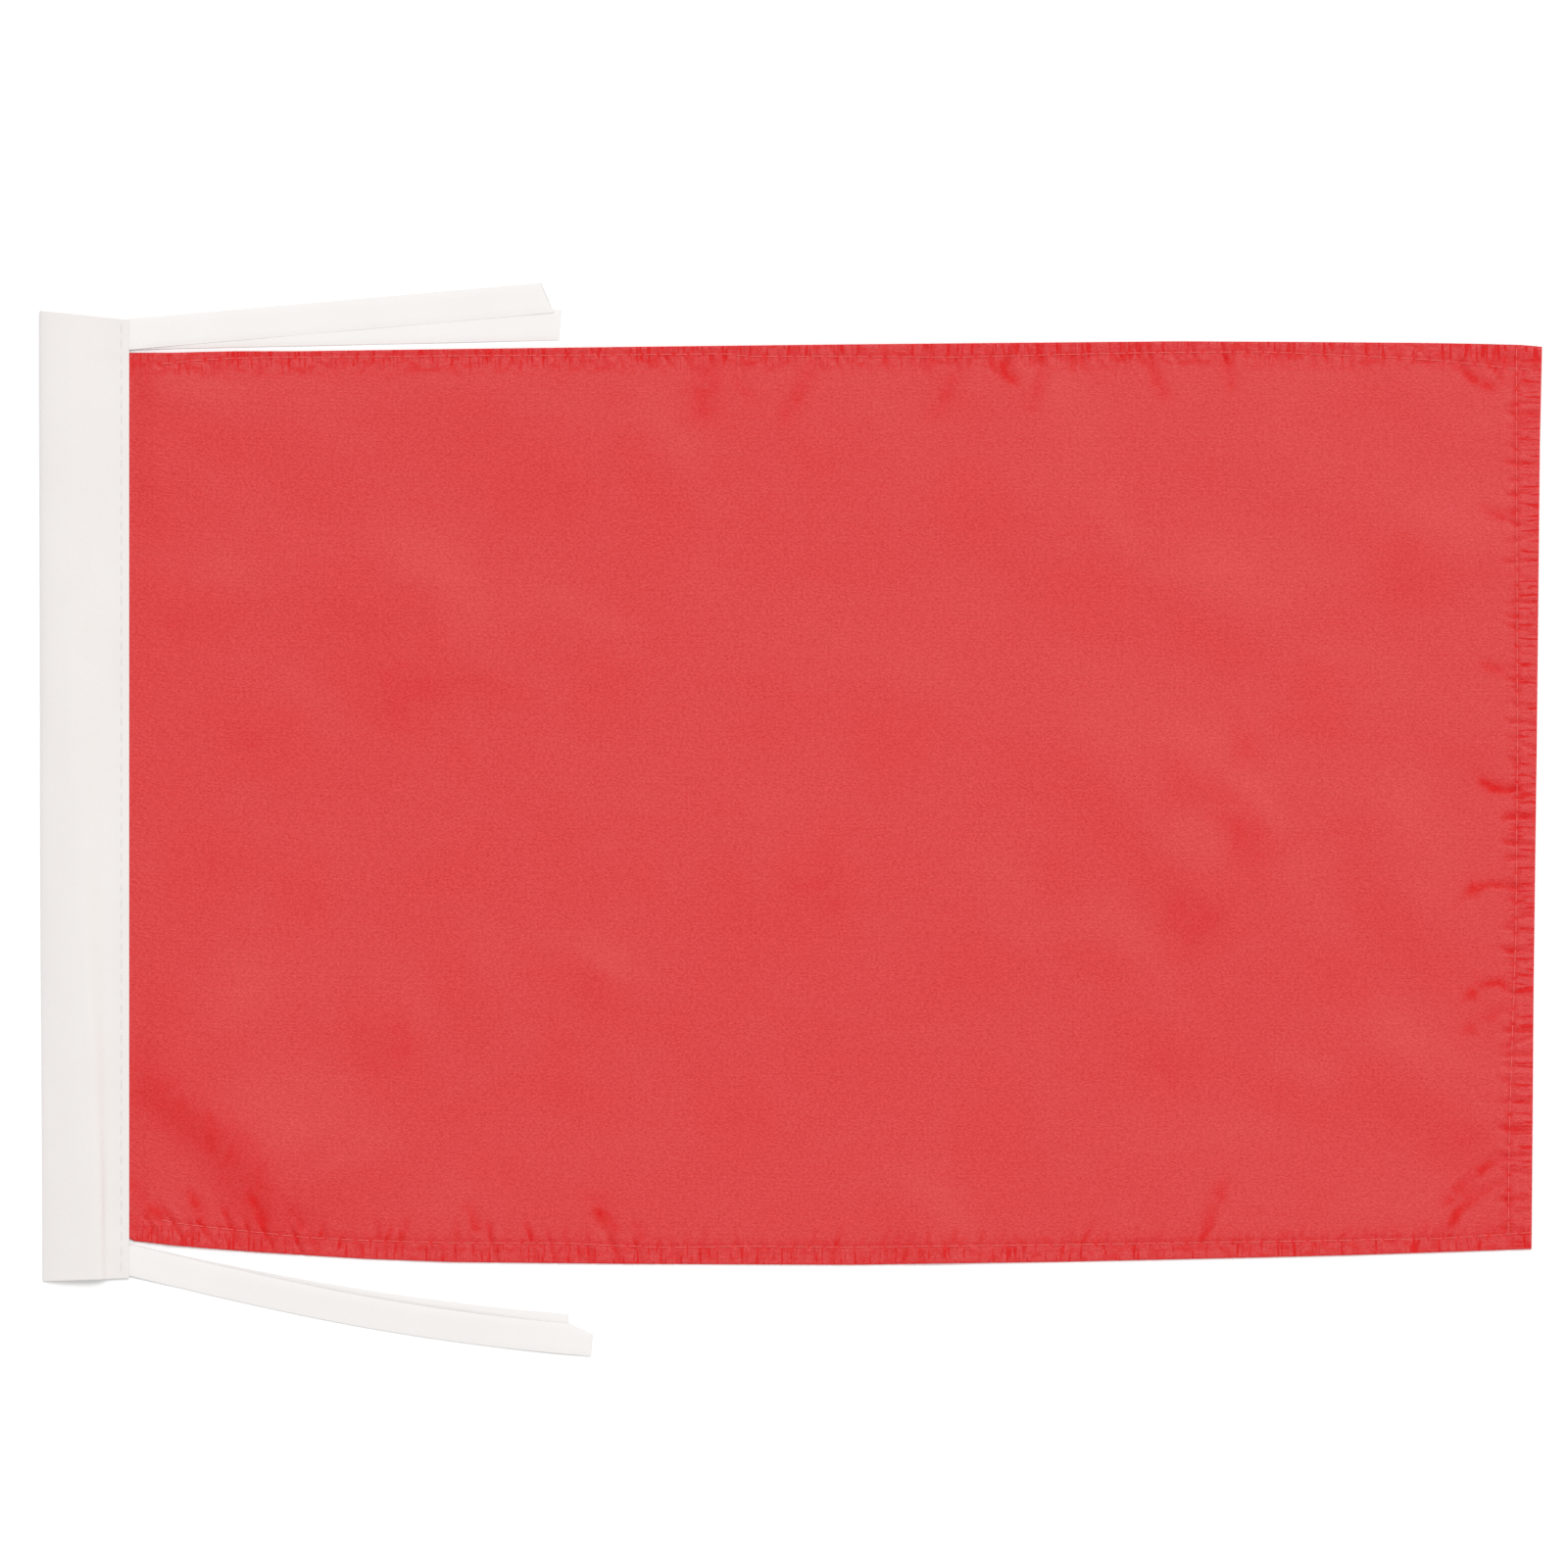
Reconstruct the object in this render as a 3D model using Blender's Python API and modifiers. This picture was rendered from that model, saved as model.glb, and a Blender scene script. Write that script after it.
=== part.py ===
"""Plain cloth flag laid flat: a hemmed red field sewn into a white folded heading, with a
white tape tie at each end of the heading whose two tails lie beside the field.

Units are metres. +X runs from the heading to the fly end, +Y runs up the hoist and +Z points
out of the front of the flag. The origin is the middle of the heading's flat back.
"""

import math

import bmesh
import bpy
from mathutils import Vector
from mathutils.geometry import interpolate_bezier

# Cloth, tape and thread
CLOTH = 0.0003              # one ply of field cloth
TAPE = 0.0003               # one ply of heading or tie tape
THREAD = 0.0003             # diameter of the sewing thread
GAP = 0.0003                # clearance between pieces that touch

# Heading: a tape folded in half along its length, open at both ends
HEADING_WIDTH = 0.0292      # from the fold to the sewn edge
SLEEVE_HEIGHT = 0.0050      # free height inside the sleeve
SEAM_WIDTH = 0.0050         # strip along the sewn edge where the plies lie flat
SEAM_SLOPE = 0.0036         # run in which the back ply climbs to the seam

# Field: the red panel, measured from the heading's sewn edge
FIELD_LENGTH = 0.4562
HOIST_HEIGHT = 0.2880
FLY_FLARE = 0.0048          # the fly edge is this much longer than the hoist
FLY_RAKE = 0.0034           # the fly edge's top corner stands out this far past its bottom one
TOP_BULGE = 0.0018          # how far the top edge bows out between its corners
BOTTOM_BULGE = 0.0064
HEM_TOP = 0.0062            # hem widths
HEM_BOTTOM = 0.0080
HEM_FLY = 0.0098
STITCH_INSET = 0.0016       # from a hem's inner fold to its stitch line
GROOVE_WIDTH = THREAD + 3 * GAP     # dent that the stitches pull into the hem's back
EDGE_STATIONS = 12          # straight runs along each bowed edge

# Ties: at each end a tape folded in the middle, with the fold sewn into the seam
TIE_WIDTH = 0.0100
TIE_CLEARANCE = 0.0010      # from the field's corner to the tape's edge
TIE_END_INSET = 0.0010      # from the heading's end to the tape's other edge
TAIL_STATIONS = 10
# tail name: length from the seam, angle at the root, angle at the tip, slant of the cut end
TAILS = {
    "tie_top_front_tail": (0.1360, math.radians(5.0), math.radians(5.0), 0.0030),
    "tie_top_back_tail": (0.1400, math.radians(1.7), math.radians(1.7), -0.0010),
    "tie_bottom_front_tail": (0.1510, math.radians(-14.8), math.radians(-5.7), -0.0040),
    "tie_bottom_back_tail": (0.1410, math.radians(-13.2), math.radians(-4.5), -0.0012),
}

# The heading spans the field's hoist and the tie beyond each end of it
HEADING_LENGTH = HOIST_HEIGHT + 2 * (TIE_CLEARANCE + TIE_WIDTH + TIE_END_INSET)

# Bend lines beside the seam
BEND_OFFSET = 0.0040        # from the heading's sewn edge to the line where cloth and ties bend
BEND_SPACE = 0.0012         # left open before the bend line, so that the pieces can fold over
HEM_START = 0.0025          # the thick hem begins this far past the bend line

# Levels through the seam, from the surface up
SEAM_EDGE = HEADING_WIDTH / 2
BEND_X = SEAM_EDGE + BEND_OFFSET
STEP = TAPE + GAP
BACK_SEAM_Z = THREAD + GAP + TAPE / 2
LOW_TIE_Z = BACK_SEAM_Z + STEP
HIGH_TIE_Z = LOW_TIE_Z + STEP
FRONT_SEAM_Z = HIGH_TIE_Z + STEP
HOIST_EDGE_Z = (LOW_TIE_Z + HIGH_TIE_Z) / 2
HEM_THICKNESS = 3 * CLOTH
FIELD_Z = HEM_THICKNESS - CLOTH / 2
BACK_TAIL_Z = TAPE / 2
FRONT_TAIL_Z = BACK_TAIL_Z + STEP
TIE_Y = HEADING_LENGTH / 2 - TIE_END_INSET - TIE_WIDTH / 2


def clear_scene():
    for old in list(bpy.data.objects):
        bpy.data.objects.remove(old, do_unlink=True)


def new_collection(name):
    collection = bpy.data.collections.new(name)
    bpy.context.scene.collection.children.link(collection)
    return collection


def cloth_material(name, colour, roughness):
    material = bpy.data.materials.new(name)
    material.use_nodes = True
    shader = material.node_tree.nodes["Principled BSDF"]
    shader.inputs["Base Color"].default_value = (*colour, 1.0)
    shader.inputs["Roughness"].default_value = roughness
    shader.inputs["Metallic"].default_value = 0.0
    return material


def add_object(name, data, collection, material=None, parent=None, location=(0, 0, 0)):
    made = bpy.data.objects.new(name, data)
    made.location = location
    made.parent = parent
    if material:
        made.data.materials.append(material)
    collection.objects.link(made)
    return made


def bend_line(name, height):
    """An empty on the line that a piece turns about."""
    return add_object(name, None, FLAG, location=(BEND_X, 0, height))


def folded_strip(name, path, low, high, thickness, material):
    """A ply that follows a path in XZ and runs straight along Y, as an open sheet made solid."""
    mesh = bpy.data.meshes.new(name)
    sheet = bmesh.new()
    near = [sheet.verts.new((x, low, z)) for x, z in path]
    far = [sheet.verts.new((x, high, z)) for x, z in path]
    for i in range(len(path) - 1):
        sheet.faces.new((near[i], near[i + 1], far[i + 1], far[i]))
    sheet.to_mesh(mesh)
    sheet.free()
    strip = add_object(name, mesh, FLAG, material)
    solidify = strip.modifiers.new("ply", "SOLIDIFY")
    solidify.thickness = thickness
    solidify.offset = 0
    solidify.use_even_offset = True
    return strip


def flat_outline(name, outline, low, high):
    """A 2D curve filled between two heights."""
    curve = bpy.data.curves.new(name, "CURVE")
    curve.dimensions = "2D"
    curve.fill_mode = "BOTH"
    curve.extrude = (high - low) / 2
    spline = curve.splines.new("POLY")
    spline.points.add(len(outline) - 1)
    for point, (x, y) in zip(spline.points, outline):
        point.co = (x, y, 0, 1)
    spline.use_cyclic_u = True
    return curve


def flat_solid(name, outline, low, high, collection):
    """The filled outline as one welded mesh, which can be cut or can cut."""
    curve = add_object(name + "_outline", flat_outline(name, outline, low, high), collection)
    curve.location.z = (low + high) / 2
    bpy.context.view_layer.update()
    evaluated = curve.evaluated_get(bpy.context.evaluated_depsgraph_get())
    mesh = bpy.data.meshes.new_from_object(evaluated)
    place = curve.matrix_world.copy()
    bpy.data.objects.remove(curve, do_unlink=True)
    weld = bmesh.new()
    weld.from_mesh(mesh)
    bmesh.ops.remove_doubles(weld, verts=weld.verts, dist=1e-6)
    weld.to_mesh(mesh)
    weld.free()
    mesh.transform(place)
    return add_object(name, mesh, collection)


def cut(target, cutter):
    cutter.hide_render = True
    cutter.display_type = "WIRE"
    boolean = target.modifiers.new(cutter.name, "BOOLEAN")
    boolean.operation = "DIFFERENCE"
    boolean.solver = "EXACT"
    boolean.object = cutter


def thread(name, route, material, parent=None):
    """One strand of sewing thread along a stitch line."""
    curve = bpy.data.curves.new(name, "CURVE")
    curve.dimensions = "3D"
    curve.bevel_depth = THREAD / 2
    curve.bevel_resolution = 2
    curve.use_fill_caps = True
    spline = curve.splines.new("POLY")
    spline.points.add(len(route) - 1)
    for point, (x, y, z) in zip(spline.points, route):
        point.co = (x, y, z, 1)
    return add_object(name, curve, FLAG, material, parent)


def bezier(start, start_handle, end_handle, end, count=7):
    """Points of one Bezier stretch in XZ, without its last point."""
    corners = [Vector((x, z, 0)) for x, z in (start, start_handle, end_handle, end)]
    return [(point.x, point.y) for point in interpolate_bezier(*corners, count)[:-1]]


# ---------------------------------------------------------------- heading

def heading_path():
    """Mid-line of the folded tape: back ply, round fold, arched front ply, seam."""
    seam_start = SEAM_EDGE - SEAM_WIDTH
    floor_z = TAPE / 2
    crown_z = TAPE + SLEEVE_HEIGHT + TAPE / 2
    fold_x = TAPE / 2 - HEADING_WIDTH / 2
    fold_z = 0.42 * crown_z
    fold_run = 0.10 * HEADING_WIDTH
    crown_x = -0.16 * HEADING_WIDTH
    slope_end = seam_start - SEAM_SLOPE
    path = [(SEAM_EDGE, BACK_SEAM_Z)]
    path += bezier((seam_start, BACK_SEAM_Z), (seam_start - SEAM_SLOPE / 2, BACK_SEAM_Z),
                   (slope_end + SEAM_SLOPE / 2, floor_z), (slope_end, floor_z), 5)
    path += [(slope_end, floor_z)]
    path += bezier((fold_x + fold_run, floor_z), (fold_x + fold_run * 0.4, floor_z),
                   (fold_x, fold_z * 0.4), (fold_x, fold_z), 6)
    path += bezier((fold_x, fold_z), (fold_x, crown_z * 0.85),
                   (crown_x - 0.22 * HEADING_WIDTH, crown_z), (crown_x, crown_z), 8)
    path += bezier((crown_x, crown_z), (crown_x + 0.26 * HEADING_WIDTH, crown_z),
                   (seam_start - 0.12 * HEADING_WIDTH, FRONT_SEAM_Z), (seam_start, FRONT_SEAM_Z), 8)
    path += [(seam_start, FRONT_SEAM_Z), (SEAM_EDGE, FRONT_SEAM_Z)]
    return path


def make_heading():
    half = HEADING_LENGTH / 2
    folded_strip("heading", heading_path(), -half, half, TAPE, WHITE_TAPE)


def make_heading_threads():
    """The seam's needle thread on the front ply and its bobbin thread under the back ply."""
    seam_x = SEAM_EDGE - SEAM_WIDTH / 2
    reach = HEADING_LENGTH / 2 - TIE_END_INSET
    clear = TAPE / 2 + GAP + THREAD / 2
    for name, z in (("heading_needle_thread", FRONT_SEAM_Z + clear),
                    ("heading_bobbin_thread", BACK_SEAM_Z - clear)):
        thread(name, [(seam_x, -reach, z), (seam_x, 0, z), (seam_x, reach, z)], WHITE_THREAD)


# ---------------------------------------------------------------- field

def edge_height(along, side):
    """Distance of the top (side 1) or bottom (side -1) edge from the middle, by X from the bend."""
    share = (along + BEND_OFFSET) / FIELD_LENGTH
    bulge = TOP_BULGE if side > 0 else BOTTOM_BULGE
    straight = (HOIST_HEIGHT + share * FLY_FLARE) / 2
    return straight + bulge * 4 * share * (1 - share)


def fly_reach(side, inset):
    """X from the bend line of the fly edge's top or bottom end, moved in by inset."""
    return FIELD_LENGTH - BEND_OFFSET + side * FLY_RAKE / 2 - inset


def edge_line(side, start, inset, fly_inset):
    """Points along the top or bottom edge, from the hoist to the fly, moved in by inset."""
    end = fly_reach(side, fly_inset)
    stations = [start + (end - start) * i / EDGE_STATIONS for i in range(EDGE_STATIONS + 1)]
    return [(x, side * (edge_height(x, side) - inset)) for x in stations]


def u_outline(start, top, bottom, fly):
    """Top edge out to the fly and bottom edge back, at the given insets."""
    return edge_line(1, start, top, fly) + edge_line(-1, start, bottom, fly)[::-1]


def stitch_insets():
    return HEM_TOP - STITCH_INSET, HEM_BOTTOM - STITCH_INSET, HEM_FLY - STITCH_INSET


def make_field():
    """The panel with its three folded hems. Its thin middle is cut up from the back."""
    panel = flat_solid("field", u_outline(GAP / 2, 0, 0, 0), -FIELD_Z, CLOTH / 2, FLAG)
    panel.parent = FIELD_BEND
    panel.data.materials.append(RED_CLOTH)

    past_edge = HOIST_HEIGHT / 2 + TIE_WIDTH
    hollow = u_outline(HEM_START, HEM_TOP, HEM_BOTTOM, HEM_FLY)
    hoist_side = [(HEM_START, -past_edge), (-HEM_START, -past_edge),
                  (-HEM_START, past_edge), (HEM_START, past_edge)]
    pocket = flat_solid("field_hollow", hollow + hoist_side, -2 * HEM_THICKNESS, -CLOTH / 2, CUTTERS)
    pocket.parent = FIELD_BEND
    cut(panel, pocket)

    half = GROOVE_WIDTH / 2
    inner = [inset + half for inset in stitch_insets()]
    outer = [inset - half for inset in stitch_insets()]
    groove_start = HEM_START + half
    band = u_outline(groove_start, *outer) + u_outline(groove_start, *inner)[::-1]
    groove = flat_solid("stitch_groove", band, -2 * HEM_THICKNESS, -CLOTH / 2, CUTTERS)
    groove.parent = FIELD_BEND
    cut(panel, groove)


def make_hem_threads():
    """Needle threads lie on the hems' front, bobbin threads in the groove in their back."""
    top, bottom, fly = stitch_insets()
    front_z = CLOTH / 2 + GAP + THREAD / 2
    back_z = -FIELD_Z + THREAD / 2
    start = HEM_START + GROOVE_WIDTH
    beside_fly = fly + THREAD + GAP
    routes = {
        "top_hem": edge_line(1, start, top, beside_fly),
        "bottom_hem": edge_line(-1, start, bottom, beside_fly),
        "fly_hem": [edge_line(1, start, top, fly)[-1], edge_line(-1, start, bottom, fly)[-1]],
    }
    for hem, route in routes.items():
        for kind, z in (("needle", front_z), ("bobbin", back_z)):
            strand = [(x, y, z) for x, y in route]
            thread(hem + "_" + kind + "_thread", strand, RED_THREAD, FIELD_BEND)


def make_hoist_edge():
    """The strip of the field that is sewn into the seam, up to the bend line."""
    path = [(SEAM_EDGE - SEAM_WIDTH, HOIST_EDGE_Z), (SEAM_EDGE + GAP, HOIST_EDGE_Z),
            (BEND_X - BEND_SPACE, FIELD_Z)]
    half = HOIST_HEIGHT / 2
    folded_strip("field_hoist_edge", path, -half, half, CLOTH, RED_CLOTH)


# ---------------------------------------------------------------- ties

def tie_fold_path():
    """Both plies of the tie tape, from the bend line into the seam, round the fold and out."""
    bend = BEND_X - BEND_SPACE
    radius = STEP / 2
    fold_x = SEAM_EDGE - SEAM_WIDTH + radius
    middle = (LOW_TIE_Z + HIGH_TIE_Z) / 2
    turn = [math.radians(angle) for angle in range(270, 89, -30)]
    path = [(bend, BACK_TAIL_Z), (SEAM_EDGE + GAP, LOW_TIE_Z)]
    path += [(fold_x + radius * math.cos(a), middle + radius * math.sin(a)) for a in turn]
    path += [(SEAM_EDGE + GAP, HIGH_TIE_Z), (bend, FRONT_TAIL_Z)]
    return path


def make_tie_folds():
    for name, side in (("tie_top_fold", 1), ("tie_bottom_fold", -1)):
        low = side * TIE_Y - TIE_WIDTH / 2
        folded_strip(name, tie_fold_path(), low, low + TIE_WIDTH, TAPE, WHITE_TAPE)


def tail_outline(length, root_angle, tip_angle, slant):
    """Plan of a tail: its direction turns evenly from root to tip, and its end is cut aslant."""
    step = (length - BEND_OFFSET) / TAIL_STATIONS
    x, y = GAP / 2, 0.0
    left, right = [(x, TIE_WIDTH / 2)], [(x, -TIE_WIDTH / 2)]
    for i in range(TAIL_STATIONS):
        angle = root_angle + (tip_angle - root_angle) * (i + 0.5) / TAIL_STATIONS
        x += step * math.cos(angle)
        y += step * math.sin(angle)
        across = (-math.sin(angle) * TIE_WIDTH / 2, math.cos(angle) * TIE_WIDTH / 2)
        lean = slant / 2 if i == TAIL_STATIONS - 1 else 0.0
        left.append((x + across[0] - lean, y + across[1]))
        right.append((x - across[0] + lean, y - across[1]))
    return left + right[::-1]


def make_tails():
    for name, (length, root_angle, tip_angle, slant) in TAILS.items():
        side = 1 if "top" in name else -1
        height = FRONT_TAIL_Z if "front" in name else BACK_TAIL_Z
        outline = tail_outline(length, root_angle, tip_angle, slant)
        plate = flat_outline(name, outline, -TAPE / 2, TAPE / 2)
        add_object(name, plate, FLAG, WHITE_TAPE, location=(BEND_X, side * TIE_Y, height))


clear_scene()
FLAG = new_collection("plain_cloth_flag")
CUTTERS = new_collection("cutters")
RED_CLOTH = cloth_material("red_cloth", (0.74, 0.055, 0.055), 0.62)
WHITE_TAPE = cloth_material("white_tape", (0.86, 0.84, 0.81), 0.80)
RED_THREAD = cloth_material("red_thread", (0.80, 0.16, 0.15), 0.55)
WHITE_THREAD = cloth_material("white_thread", (0.90, 0.88, 0.86), 0.60)
FIELD_BEND = bend_line("field_bend", FIELD_Z)

make_heading()
make_heading_threads()
make_field()
make_hem_threads()
make_hoist_edge()
make_tie_folds()
make_tails()
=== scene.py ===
import math

import bmesh
import bpy
import numpy as np
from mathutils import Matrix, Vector


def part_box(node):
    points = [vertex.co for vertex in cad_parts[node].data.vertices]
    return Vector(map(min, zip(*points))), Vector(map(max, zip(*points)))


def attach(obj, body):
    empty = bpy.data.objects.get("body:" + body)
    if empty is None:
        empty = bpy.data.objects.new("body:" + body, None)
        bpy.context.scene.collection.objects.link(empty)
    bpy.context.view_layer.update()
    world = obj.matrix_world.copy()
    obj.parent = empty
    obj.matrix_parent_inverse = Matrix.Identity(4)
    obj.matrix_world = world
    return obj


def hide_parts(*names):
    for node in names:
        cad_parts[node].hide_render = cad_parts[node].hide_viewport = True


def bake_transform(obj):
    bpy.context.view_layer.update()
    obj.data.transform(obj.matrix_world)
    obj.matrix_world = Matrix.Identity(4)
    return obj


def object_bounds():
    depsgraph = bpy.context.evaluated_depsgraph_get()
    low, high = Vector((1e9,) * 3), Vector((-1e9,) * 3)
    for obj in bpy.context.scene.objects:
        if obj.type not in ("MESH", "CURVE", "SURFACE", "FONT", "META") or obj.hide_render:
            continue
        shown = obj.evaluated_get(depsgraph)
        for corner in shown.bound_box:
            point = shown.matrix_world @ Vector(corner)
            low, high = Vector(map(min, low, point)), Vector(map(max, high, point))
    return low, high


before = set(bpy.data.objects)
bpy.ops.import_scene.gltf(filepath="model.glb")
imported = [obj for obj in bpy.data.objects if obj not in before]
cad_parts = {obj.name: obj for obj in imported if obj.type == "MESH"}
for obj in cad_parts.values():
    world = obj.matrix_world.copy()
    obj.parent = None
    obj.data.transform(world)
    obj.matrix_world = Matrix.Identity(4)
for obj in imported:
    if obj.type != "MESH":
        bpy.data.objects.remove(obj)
cad_low, cad_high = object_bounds()


# ---------------------------------------------------------------- heading
# A white woven tape folded in half along its length, so that it makes a sleeve for a pole or a
# line. It is about 0.3 mm thick and open at both cut ends. Its two free edges lie over the
# field's hoist edge and are sewn together through it. Lengths are in millimetres.

MM = 0.001
TAPE = 0.30


def extent(node):
    """Lowest and highest corner of a CAD piece."""
    low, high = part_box(node)
    return np.array(low) / MM, np.array(high) / MM


HEADING_LOW, HEADING_HIGH = extent("heading")
FOLD_EDGE = HEADING_LOW[0]
SEWN_EDGE = HEADING_HIGH[0]
HEADING_END = HEADING_HIGH[1]
SEAM_START = extent("field_hoist_edge")[0][0]
SEAM_BACK = extent("heading_bobbin_thread")[1][2] + TAPE / 2
TIE_START = extent("tie_top_fold")[0][1]
PLY_GAP = 0.02
LAMP_WAY = (0.39, 0.92)


def eased(at, stops, values):
    """Values set at stops along a line, joined by curves that leave and reach each stop level."""
    stops = np.asarray(stops, float)
    values = np.asarray(values, float)
    place = np.clip(np.searchsorted(stops, at) - 1, 0, len(stops) - 2)
    share = np.clip((at - stops[place]) / (stops[place + 1] - stops[place]), 0, 1)
    return values[place] + (values[place + 1] - values[place]) * share * share * (3 - 2 * share)


def seam_level(ply):
    """Height of a ply's mid-line in the seam: 0 is the tape at the back, 1 the cloth or a tie's
    lower ply, 2 a tie's upper ply."""
    return SEAM_BACK + (TAPE + PLY_GAP) * ply


def seam_front(y):
    """Height of the front tape's mid-line in the seam, which climbs over the ties at both ends."""
    return seam_level(2 + eased(np.abs(y), (TIE_START - 4.0, TIE_START + 0.5), (0, 1)))


def arc(start, start_pull, end_pull, end, count):
    """A Bezier stretch in XZ without its last point; each corner is (x, z), and may vary with Y."""
    share = np.linspace(0, 1, count, endpoint=False)[:, None]
    rest = 1 - share
    weights = (rest ** 3, 3 * share * rest ** 2, 3 * share ** 2 * rest, share ** 3)
    corners = (start, start_pull, end_pull, end)
    return [sum(weight * corner[axis] for weight, corner in zip(weights, corners)) for axis in (0, 1)]


def crease(x, y, path, widths, rise):
    """A soft ridge along a path of points, which fades out at both of its ends. widths are how
    far it spreads on the side away from the lamp and on the side towards it. LAMP_WAY is the
    lamp's direction over the flag."""
    path = np.array(path, float)
    steps = np.diff(path, axis=0)
    lengths = np.hypot(steps[:, 0], steps[:, 1])
    total = lengths.sum()
    before = 0.0
    nearest = np.full(np.shape(x), np.inf)
    place = np.zeros(np.shape(x))
    side = np.zeros(np.shape(x))
    for index, length in enumerate(lengths):
        along = steps[index] / length
        first = -0.15 * total if index == 0 else 0
        last = length + (0.15 * total if index == len(lengths) - 1 else 0)
        off_x = x - path[index][0]
        off_y = y - path[index][1]
        run = np.clip(off_x * along[0] + off_y * along[1], first, last)
        off_x = off_x - run * along[0]
        off_y = off_y - run * along[1]
        off = off_x ** 2 + off_y ** 2
        place = np.where(off < nearest, (before + run) / total, place)
        side = np.where(off < nearest, off_x * LAMP_WAY[0] + off_y * LAMP_WAY[1], side)
        nearest = np.minimum(off, nearest)
        before += length
    fade = eased(place, (-0.15, 0.30, 0.70, 1.15), (0, 1, 1, 0))
    return rise * fade * np.exp(-nearest / np.where(side > 0, widths[1], widths[0]) ** 2)


def grid_cells(columns, rows, block=None, stride=1):
    """Corner places of the faces over a grid. Inside block, which is (first column, last column,
    first row, last row), a face is stride points wide. Beside finer faces it takes in all the
    points on its side, so that the sheet stays closed."""
    left, right, low, high = block or (0, 0, 0, 0)
    for i in range(columns - 1):
        for j in range(rows - 1):
            if not (left <= i < right and low <= j < high):
                yield [(i, j), (i + 1, j), (i + 1, j + 1), (i, j + 1)]
    for i in range(left, right, stride):
        for j in range(low, high, stride):
            sides = ((0, 0, 1, 0, j == low), (stride, 0, 0, 1, i + stride == right),
                     (stride, stride, -1, 0, j + stride == high), (0, stride, 0, -1, i == left))
            yield [(i + a + across * k, j + b + up * k)
                   for a, b, across, up, fine in sides for k in range(stride if fine else 1)]


def cloth_piece(name, front, back, maps, material, block=None, stride=1):
    """One closed piece of cloth from grids of points over its two faces, which share their rim.
    maps are named layers of two numbers at each point, such as where it lay in the cloth as cut."""
    columns, rows = front.shape[:2]
    over = np.arange(columns * rows).reshape(columns, rows)
    under = over + columns * rows
    for rim in (np.s_[0, :], np.s_[-1, :], np.s_[:, 0], np.s_[:, -1]):
        under[rim] = over[rim]
    faces = []
    for ring in grid_cells(columns, rows, block, stride):
        faces.append([over[place] for place in ring])
        faces.append([under[place] for place in reversed(ring)])
    points = np.concatenate([front.reshape(-1, 3), back.reshape(-1, 3)]) * MM
    used, order = np.unique(np.concatenate(faces), return_inverse=True)
    order = order.ravel()
    splits = np.cumsum([len(face) for face in faces])[:-1]
    mesh = bpy.data.meshes.new(name)
    mesh.from_pydata(points[used].tolist(), [], [part.tolist() for part in np.split(order, splits)])
    for title, values in maps.items():
        layer = mesh.uv_layers.new(name=title)
        on_both_faces = np.concatenate([values.reshape(-1, 2)] * 2)
        layer.data.foreach_set("uv", on_both_faces[used][order].astype(np.float32).ravel())
    return finish_mesh(name, mesh, material)


def finish_mesh(name, mesh, material):
    """Faces turned outwards, smoothed and given their material, in a new object."""
    turned = bmesh.new()
    turned.from_mesh(mesh)
    bmesh.ops.recalc_face_normals(turned, faces=turned.faces)
    turned.to_mesh(mesh)
    turned.free()
    mesh.shade_smooth()
    mesh.materials.append(material)
    made = bpy.data.objects.new(name, mesh)
    bpy.context.scene.collection.objects.link(made)
    return made


def shade(tree, kind, settings=None, sockets=None):
    """One shader node with its settings, and a value or a link into each named socket."""
    made = tree.nodes.new("ShaderNode" + kind)
    for setting, value in (settings or {}).items():
        setattr(made, setting, value)
    for socket, value in (sockets or {}).items():
        if isinstance(value, bpy.types.NodeSocket):
            tree.links.new(value, made.inputs[socket])
        else:
            made.inputs[socket].default_value = value
    return made


def cut_cloth(tree, stretch):
    """Millimetres over the cloth as it was cut, stretched along its two directions."""
    layer = shade(tree, "UVMap", {"uv_map": "cut_cloth"})
    return shade(tree, "Mapping", None, {"Vector": layer.outputs[0], "Scale": (*stretch, 1)}).outputs[0]


def noise(tree, stretch, detail, distortion=0.0):
    """Uneven pattern whose grain is one over stretch long, in millimetres."""
    place = cut_cloth(tree, stretch)
    sockets = {"Vector": place, "Scale": 1.0, "Detail": detail, "Distortion": distortion}
    return shade(tree, "TexNoise", None, sockets).outputs[0]


def spread(tree, value, low, high, start=0.25, end=0.75):
    """A value that runs from start to end, brought to run from low to high."""
    sockets = {"Value": value, "From Min": start, "From Max": end, "To Min": low, "To Max": high}
    return shade(tree, "MapRange", None, sockets).outputs[0]


def plain_weave(tree, pitch):
    """Height of a plain weave with that many millimetres from one thread to the next."""
    place = cut_cloth(tree, (1, 1))
    bands = []
    for direction in ("X", "Y"):
        settings = {"wave_type": "BANDS", "bands_direction": direction}
        sockets = {"Vector": place, "Scale": math.tau / 20 / pitch, "Distortion": 0.6, "Detail": 1.0}
        bands.append(shade(tree, "TexWave", settings, sockets).outputs[1])
    return shade(tree, "Math", {"operation": "MULTIPLY"}, {0: bands[0], 1: bands[1]}).outputs[0]


def blended(tree, share, first, second):
    """One colour running into another."""
    sockets = {"Fac": share, "Color1": (*first, 1), "Color2": (*second, 1)}
    return shade(tree, "MixRGB", None, sockets).outputs[0]


def times(tree, colour, share):
    """A colour darkened or lightened by a share."""
    grey = shade(tree, "CombineColor", None, {"Red": share, "Green": share, "Blue": share}).outputs[0]
    sockets = {"Fac": 1.0, "Color1": colour, "Color2": grey}
    return shade(tree, "MixRGB", {"blend_type": "MULTIPLY"}, sockets).outputs[0]


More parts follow.
